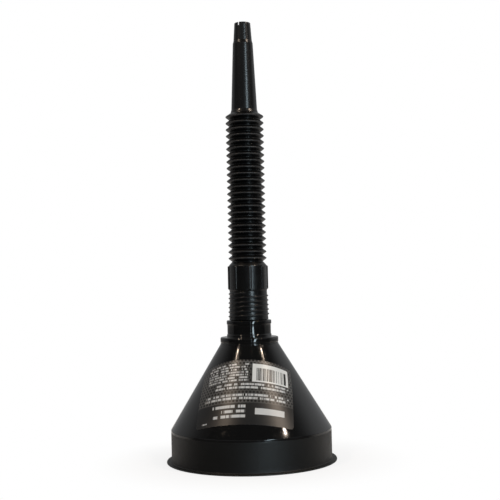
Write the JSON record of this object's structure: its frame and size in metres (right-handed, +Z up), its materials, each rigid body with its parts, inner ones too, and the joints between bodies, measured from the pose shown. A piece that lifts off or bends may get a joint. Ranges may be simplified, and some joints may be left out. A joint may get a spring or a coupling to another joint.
{
  "type": "funnel",
  "caption": "Round funnel standing on its rim, with a removable strainer in its throat and a screw-on flexible bellows spout with a tapered, stepped nozzle.",
  "frame": {"origin": "centre of the rim's underside, on the surface the funnel stands on", "axes": "+Z up the funnel's axis towards the nozzle, -Y is the labelled front, +X to the right seen from the front"},
  "size_m": [0.16, 0.16, 0.414],
  "materials": {
    "bowl_plastic": "gloss moulded, satin on the skirt",
    "spout_plastic": "semi-gloss blow-moulded",
    "strainer_plastic": "satin moulded",
    "mesh_plastic": "matte",
    "label_film": "gloss printed film"
  },
  "bodies": {
    "funnel": {"funnel_body": "bowl_plastic", "label": "label_film"},
    "strainer": {"strainer_frame": "strainer_plastic", "strainer_mesh": "mesh_plastic"},
    "spout_base": {"spout_sleeve": "spout_plastic"},
    "convolution_01": {"convolution_01": "spout_plastic"},
    "convolution_02": {"convolution_02": "spout_plastic"},
    "convolution_03": {"convolution_03": "spout_plastic"},
    "convolution_04": {"convolution_04": "spout_plastic"},
    "convolution_05": {"convolution_05": "spout_plastic"},
    "convolution_06": {"convolution_06": "spout_plastic"},
    "convolution_07": {"convolution_07": "spout_plastic"},
    "convolution_08": {"convolution_08": "spout_plastic"},
    "convolution_09": {"convolution_09": "spout_plastic"},
    "convolution_10": {"convolution_10": "spout_plastic"},
    "convolution_11": {"convolution_11": "spout_plastic"},
    "convolution_12": {"convolution_12": "spout_plastic"},
    "convolution_13": {"convolution_13": "spout_plastic"},
    "convolution_14": {"convolution_14": "spout_plastic"},
    "convolution_15": {"convolution_15": "spout_plastic"},
    "convolution_16": {"convolution_16": "spout_plastic"},
    "convolution_17": {"convolution_17": "spout_plastic"},
    "convolution_18": {"convolution_18": "spout_plastic"},
    "convolution_19": {"convolution_19": "spout_plastic"},
    "convolution_20": {"convolution_20": "spout_plastic"},
    "convolution_21": {"convolution_21": "spout_plastic"},
    "convolution_22": {"convolution_22": "spout_plastic"},
    "convolution_23": {"convolution_23": "spout_plastic"},
    "nozzle": {"nozzle": "spout_plastic"}
  },
  "joints": [
    {"name": "strainer_pull_out", "type": "slide", "parent": "funnel", "child": "strainer", "axis": [0, 0, -1], "range_m": [0, 0.13]},
    {"name": "spout_lift_off", "type": "slide", "parent": "funnel", "child": "spout_base", "axis": [0, 0, 1], "range_m": [0, 0.04]},
    {"name": "spout_bend_side_01", "type": "hinge", "parent": "spout_base", "child": "convolution_01", "pos_m": [0, 0, 0.18685], "axis": [-0.0958, 0.9954, 0], "range_deg": [-7.5, 7.5], "deforming": ["convolution_01"]},
    {"name": "spout_bend_front_01", "type": "hinge", "parent": "convolution_01", "child": "convolution_02", "pos_m": [0, 0, 0.19296], "axis": [0.9954, 0.0958, 0], "range_deg": [-7.5, 7.5], "deforming": ["convolution_02"]},
    {"name": "spout_bend_side_02", "type": "hinge", "parent": "convolution_02", "child": "convolution_03", "pos_m": [0, 0, 0.19907], "axis": [-0.0958, 0.9954, 0], "range_deg": [-7.5, 7.5], "deforming": ["convolution_03"]},
    {"name": "spout_bend_front_02", "type": "hinge", "parent": "convolution_03", "child": "convolution_04", "pos_m": [0, 0, 0.20518], "axis": [0.9954, 0.0958, 0], "range_deg": [-7.5, 7.5], "deforming": ["convolution_04"]},
    {"name": "spout_bend_side_03", "type": "hinge", "parent": "convolution_04", "child": "convolution_05", "pos_m": [0, 0, 0.21129], "axis": [-0.0958, 0.9954, 0], "range_deg": [-7.5, 7.5], "deforming": ["convolution_05"]},
    {"name": "spout_bend_front_03", "type": "hinge", "parent": "convolution_05", "child": "convolution_06", "pos_m": [0, 0, 0.2174], "axis": [0.9954, 0.0958, 0], "range_deg": [-7.5, 7.5], "deforming": ["convolution_06"]},
    {"name": "spout_bend_side_04", "type": "hinge", "parent": "convolution_06", "child": "convolution_07", "pos_m": [0, 0, 0.22351], "axis": [-0.0958, 0.9954, 0], "range_deg": [-7.5, 7.5], "deforming": ["convolution_07"]},
    {"name": "spout_bend_front_04", "type": "hinge", "parent": "convolution_07", "child": "convolution_08", "pos_m": [0, 0, 0.22962], "axis": [0.9954, 0.0958, 0], "range_deg": [-7.5, 7.5], "deforming": ["convolution_08"]},
    {"name": "spout_bend_side_05", "type": "hinge", "parent": "convolution_08", "child": "convolution_09", "pos_m": [0, 0, 0.23573], "axis": [-0.0958, 0.9954, 0], "range_deg": [-7.5, 7.5], "deforming": ["convolution_09"]},
    {"name": "spout_bend_front_05", "type": "hinge", "parent": "convolution_09", "child": "convolution_10", "pos_m": [0, 0, 0.24184], "axis": [0.9954, 0.0958, 0], "range_deg": [-7.5, 7.5], "deforming": ["convolution_10"]},
    {"name": "spout_bend_side_06", "type": "hinge", "parent": "convolution_10", "child": "convolution_11", "pos_m": [0, 0, 0.24795], "axis": [-0.0958, 0.9954, 0], "range_deg": [-7.5, 7.5], "deforming": ["convolution_11"]},
    {"name": "spout_bend_front_06", "type": "hinge", "parent": "convolution_11", "child": "convolution_12", "pos_m": [0, 0, 0.25406], "axis": [0.9954, 0.0958, 0], "range_deg": [-7.5, 7.5], "deforming": ["convolution_12"]},
    {"name": "spout_bend_side_07", "type": "hinge", "parent": "convolution_12", "child": "convolution_13", "pos_m": [0, 0, 0.26017], "axis": [-0.0958, 0.9954, 0], "range_deg": [-7.5, 7.5], "deforming": ["convolution_13"]},
    {"name": "spout_bend_front_07", "type": "hinge", "parent": "convolution_13", "child": "convolution_14", "pos_m": [0, 0, 0.26628], "axis": [0.9954, 0.0958, 0], "range_deg": [-7.5, 7.5], "deforming": ["convolution_14"]},
    {"name": "spout_bend_side_08", "type": "hinge", "parent": "convolution_14", "child": "convolution_15", "pos_m": [0, 0, 0.27239], "axis": [-0.0958, 0.9954, 0], "range_deg": [-7.5, 7.5], "deforming": ["convolution_15"]},
    {"name": "spout_bend_front_08", "type": "hinge", "parent": "convolution_15", "child": "convolution_16", "pos_m": [0, 0, 0.2785], "axis": [0.9954, 0.0958, 0], "range_deg": [-7.5, 7.5], "deforming": ["convolution_16"]},
    {"name": "spout_bend_side_09", "type": "hinge", "parent": "convolution_16", "child": "convolution_17", "pos_m": [0, 0, 0.28461], "axis": [-0.0958, 0.9954, 0], "range_deg": [-7.5, 7.5], "deforming": ["convolution_17"]},
    {"name": "spout_bend_front_09", "type": "hinge", "parent": "convolution_17", "child": "convolution_18", "pos_m": [0, 0, 0.29072], "axis": [0.9954, 0.0958, 0], "range_deg": [-7.5, 7.5], "deforming": ["convolution_18"]},
    {"name": "spout_bend_side_10", "type": "hinge", "parent": "convolution_18", "child": "convolution_19", "pos_m": [0, 0, 0.29683], "axis": [-0.0958, 0.9954, 0], "range_deg": [-7.5, 7.5], "deforming": ["convolution_19"]},
    {"name": "spout_bend_front_10", "type": "hinge", "parent": "convolution_19", "child": "convolution_20", "pos_m": [0, 0, 0.30294], "axis": [0.9954, 0.0958, 0], "range_deg": [-7.5, 7.5], "deforming": ["convolution_20"]},
    {"name": "spout_bend_side_11", "type": "hinge", "parent": "convolution_20", "child": "convolution_21", "pos_m": [0, 0, 0.30905], "axis": [-0.0958, 0.9954, 0], "range_deg": [-7.5, 7.5], "deforming": ["convolution_21"]},
    {"name": "spout_bend_front_11", "type": "hinge", "parent": "convolution_21", "child": "convolution_22", "pos_m": [0, 0, 0.31516], "axis": [0.9954, 0.0958, 0], "range_deg": [-7.5, 7.5], "deforming": ["convolution_22"]},
    {"name": "spout_bend_side_12", "type": "hinge", "parent": "convolution_22", "child": "convolution_23", "pos_m": [0, 0, 0.32127], "axis": [-0.0958, 0.9954, 0], "range_deg": [-7.5, 7.5], "deforming": ["convolution_23"]},
    {"name": "spout_bend_front_12", "type": "hinge", "parent": "convolution_23", "child": "nozzle", "pos_m": [0, 0, 0.32738], "axis": [0.9954, 0.0958, 0], "range_deg": [-7.5, 7.5]}
  ],
  "couplings": [
    {"joint": "spout_bend_side_02", "follows": "spout_bend_side_01", "ratio": 1},
    {"joint": "spout_bend_front_02", "follows": "spout_bend_front_01", "ratio": 1},
    {"joint": "spout_bend_side_03", "follows": "spout_bend_side_01", "ratio": 1},
    {"joint": "spout_bend_front_03", "follows": "spout_bend_front_01", "ratio": 1},
    {"joint": "spout_bend_side_04", "follows": "spout_bend_side_01", "ratio": 1},
    {"joint": "spout_bend_front_04", "follows": "spout_bend_front_01", "ratio": 1},
    {"joint": "spout_bend_side_05", "follows": "spout_bend_side_01", "ratio": 1},
    {"joint": "spout_bend_front_05", "follows": "spout_bend_front_01", "ratio": 1},
    {"joint": "spout_bend_side_06", "follows": "spout_bend_side_01", "ratio": 1},
    {"joint": "spout_bend_front_06", "follows": "spout_bend_front_01", "ratio": 1},
    {"joint": "spout_bend_side_07", "follows": "spout_bend_side_01", "ratio": 1},
    {"joint": "spout_bend_front_07", "follows": "spout_bend_front_01", "ratio": 1},
    {"joint": "spout_bend_side_08", "follows": "spout_bend_side_01", "ratio": 1},
    {"joint": "spout_bend_front_08", "follows": "spout_bend_front_01", "ratio": 1},
    {"joint": "spout_bend_side_09", "follows": "spout_bend_side_01", "ratio": 1},
    {"joint": "spout_bend_front_09", "follows": "spout_bend_front_01", "ratio": 1},
    {"joint": "spout_bend_side_10", "follows": "spout_bend_side_01", "ratio": 1},
    {"joint": "spout_bend_front_10", "follows": "spout_bend_front_01", "ratio": 1},
    {"joint": "spout_bend_side_11", "follows": "spout_bend_side_01", "ratio": 1},
    {"joint": "spout_bend_front_11", "follows": "spout_bend_front_01", "ratio": 1},
    {"joint": "spout_bend_side_12", "follows": "spout_bend_side_01", "ratio": 1},
    {"joint": "spout_bend_front_12", "follows": "spout_bend_front_01", "ratio": 1}
  ]
}
